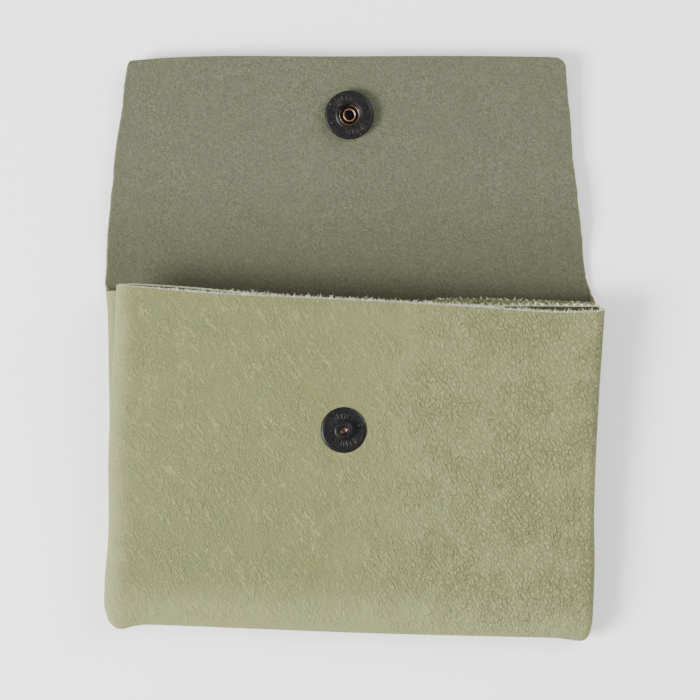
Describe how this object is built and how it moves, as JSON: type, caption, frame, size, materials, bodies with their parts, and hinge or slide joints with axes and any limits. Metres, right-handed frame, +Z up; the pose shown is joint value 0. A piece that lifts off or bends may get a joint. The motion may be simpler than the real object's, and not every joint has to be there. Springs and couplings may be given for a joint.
{
  "type": "card holder",
  "caption": "Folded leather card holder: two stitch-free pocket halves joined by a bottom fold, with a wide flap closed by a press snap.",
  "frame": {"origin": "centre of the bounding box on the surface the holder lies on", "axes": "+X along the flap's crease, +Y towards the open flap's tip, +Z up through the thickness"},
  "size_m": [0.1018, 0.1184, 0.0104],
  "materials": {
    "leather_grain": "pebbled full grain, olive-khaki, matt to satin",
    "leather_suede": "suede flesh side, grey-green, matt",
    "snap_black": "black oxide, satin, worn at the rims",
    "snap_copper": "bare copper-coloured metal, satin",
    "spring_wire": "bright wire"
  },
  "bodies": {
    "root": {"back_panel": "leather_grain", "back_fold_left": "leather_grain", "back_fold_right": "leather_grain", "back_wing_left": "leather_grain", "back_wing_right": "leather_grain", "bottom_fold": "leather_grain", "bottom_corner_left": "leather_grain", "bottom_corner_right": "leather_grain", "bottom_wing_fold_left": "leather_grain", "bottom_wing_fold_right": "leather_grain"},
    "front_half": {"front_panel": "leather_grain", "front_fold_left": "leather_grain", "front_fold_right": "leather_grain", "front_wing_left": "leather_grain", "front_wing_right": "leather_grain", "snap_stud": "snap_black", "stud_post": "snap_copper"},
    "flap_spine": {"flap_spine": "leather_suede"},
    "flap": {"flap": "leather_suede", "snap_cap": "snap_black", "snap_socket": "snap_black", "socket_spring": "spring_wire"}
  },
  "joints": [
    {"name": "flap_fold", "type": "hinge", "parent": "root", "child": "flap_spine", "pos_m": [0, 0.01066, 0.001], "axis": [1, 0, 0], "range_deg": [0, 86.7]},
    {"name": "flap_tip_fold", "type": "hinge", "parent": "flap_spine", "child": "flap", "pos_m": [0, 0.01865, 0.00146], "axis": [1, 0, 0], "range_deg": [0, 90]},
    {"name": "mouth_fold", "type": "hinge", "parent": "root", "child": "front_half", "pos_m": [0, -0.05529, 0.00495], "axis": [0.9999, -0.0148, 0], "range_deg": [-3, 0]}
  ],
  "couplings": [
    {"joint": "flap_tip_fold", "follows": "flap_fold", "ratio": 1.0381},
    {"joint": "mouth_fold", "follows": "flap_fold", "ratio": -0.034602}
  ]
}
